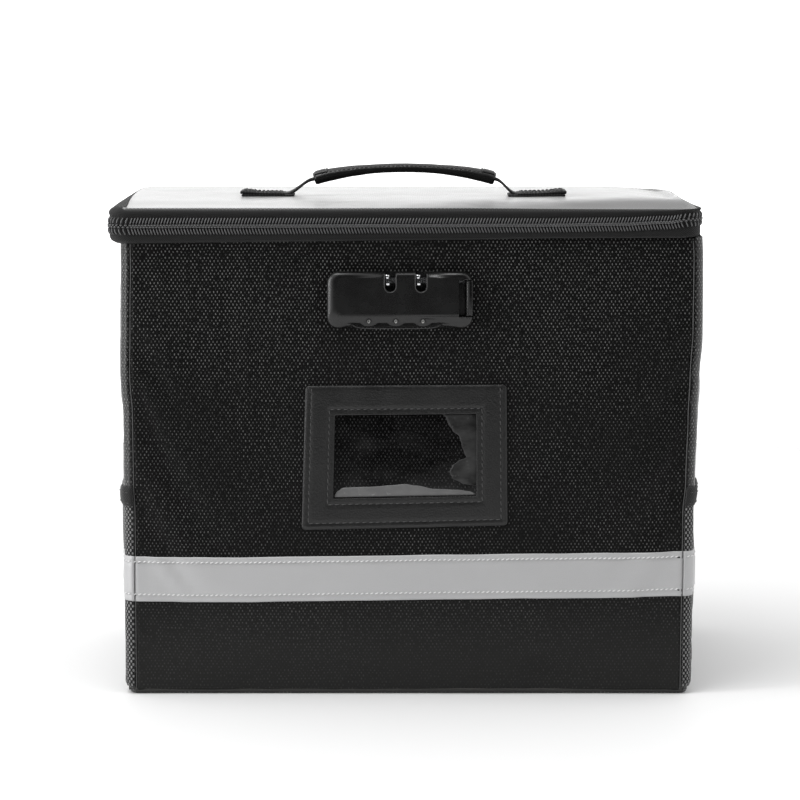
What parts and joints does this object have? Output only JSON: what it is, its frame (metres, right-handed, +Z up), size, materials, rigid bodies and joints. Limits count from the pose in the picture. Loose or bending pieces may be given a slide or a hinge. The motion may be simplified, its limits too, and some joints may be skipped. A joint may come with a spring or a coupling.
{
  "type": "battery bag",
  "caption": "Box-shaped zip-around battery bag with a hinged lid, combination lock, ID window, reflective strip, mesh side pockets and carry handle.",
  "frame": {"origin": "on the floor under the middle of the bag, on the base fabric's underside", "axes": "+X to the bag's right seen from the front, +Y to the back, +Z up; the lock faces -Y"},
  "size_m": [0.3826, 0.25, 0.3342],
  "materials": {
    "coated_fabric": "silicone-coated woven glass fibre, black, low sheen",
    "board": "matte",
    "lining": "coated, silver grey",
    "reflective": "satin silver retroreflective tape",
    "mesh": "open polyester mesh, black",
    "zip_tape": "woven tape, black",
    "zip_coil": "satin nylon coil",
    "zip_metal": "black plated die-cast zinc",
    "leather": "fine-grained synthetic leather, black",
    "window": "clear glossy film",
    "lock_plastic": "satin black",
    "dial_plastic": "satin black, white numerals",
    "chrome": "polished",
    "webbing": "woven webbing, black"
  },
  "bodies": {
    "bag": {"panel_front": "coated_fabric", "panel_back": "coated_fabric", "side_left": "coated_fabric", "side_right": "coated_fabric", "panel_base": "coated_fabric", "board_front": "board", "board_back": "board", "board_left": "board", "board_right": "board", "board_base": "board", "liner": "lining", "strip_front": "reflective", "strip_back": "reflective", "strip_left": "reflective", "strip_right": "reflective", "pocket_left": "mesh", "pocket_right": "mesh", "zip_binding_lower": "zip_tape", "zip_tape_lower": "zip_tape", "zip_coil_lower": "zip_coil", "zip_stop_left": "zip_metal", "zip_stop_right": "zip_metal", "lock_backplate": "zip_metal", "id_frame": "leather", "id_window": "window", "lock_base": "lock_plastic", "lock_cover": "lock_plastic", "pocket_binding_left": "webbing", "pocket_binding_right": "webbing", "hinge_leaf_lower": "webbing"},
    "lid": {"lid_cover": "coated_fabric", "lid_board": "board", "lid_lining": "lining", "zip_tape_upper": "zip_tape", "zip_coil_upper": "zip_coil", "hinge_leaf_upper": "webbing", "handle_foot_left": "webbing", "handle_foot_right": "webbing"},
    "handle": {"handle_grip": "leather", "handle_strap_left": "webbing", "handle_strap_right": "webbing"},
    "dial_1": {"dial_1": "dial_plastic"},
    "dial_2": {"dial_2": "dial_plastic"},
    "dial_3": {"dial_3": "dial_plastic"},
    "release": {"release_bar": "chrome", "release_button": "lock_plastic"},
    "slider_front": {"slider_front": "zip_metal"},
    "slider_rear": {"slider_rear": "zip_metal"},
    "pull_front": {"pull_front": "zip_metal"},
    "pull_rear": {"pull_rear": "zip_metal"}
  },
  "joints": [
    {"name": "lid_hinge", "type": "hinge", "parent": "bag", "child": "lid", "pos_m": [0, 0.1213, 0.2995], "axis": [-1, 0, 0], "range_deg": [0, 180]},
    {"name": "handle_tilt", "type": "hinge", "parent": "lid", "child": "handle", "pos_m": [0, 0, 0.316], "axis": [1, 0, 0], "range_deg": [-45, 45], "stiffness_Nm_per_rad": 0.06, "deforming": ["handle_strap_left", "handle_strap_right"]},
    {"name": "dial_1_turn", "type": "hinge", "parent": "bag", "child": "dial_1", "pos_m": [-0.0235, -0.1252, 0.2455], "axis": [0, -1, 0], "continuous": true},
    {"name": "dial_2_turn", "type": "hinge", "parent": "bag", "child": "dial_2", "pos_m": [-0.0064, -0.1252, 0.2455], "axis": [0, -1, 0], "continuous": true},
    {"name": "dial_3_turn", "type": "hinge", "parent": "bag", "child": "dial_3", "pos_m": [0.0107, -0.1252, 0.2455], "axis": [0, -1, 0], "continuous": true},
    {"name": "release_slide", "type": "slide", "parent": "bag", "child": "release", "axis": [-1, 0, 0], "range_m": [0, 0.003], "stiffness_N_per_m": 150},
    {"name": "slider_front_run", "type": "slide", "parent": "bag", "child": "slider_front", "axis": [0, -1, 0], "range_m": [0, 0.16]},
    {"name": "slider_rear_run", "type": "slide", "parent": "bag", "child": "slider_rear", "axis": [0, 1, 0], "range_m": [0, 0.02]},
    {"name": "pull_front_swing", "type": "hinge", "parent": "slider_front", "child": "pull_front", "pos_m": [0.19085, 0.072, 0.2995], "axis": [0, 0, 1], "range_deg": [0, 95]},
    {"name": "pull_rear_swing", "type": "hinge", "parent": "slider_rear", "child": "pull_rear", "pos_m": [0.19085, 0.084, 0.2995], "axis": [0, 0, -1], "range_deg": [0, 95]}
  ]
}
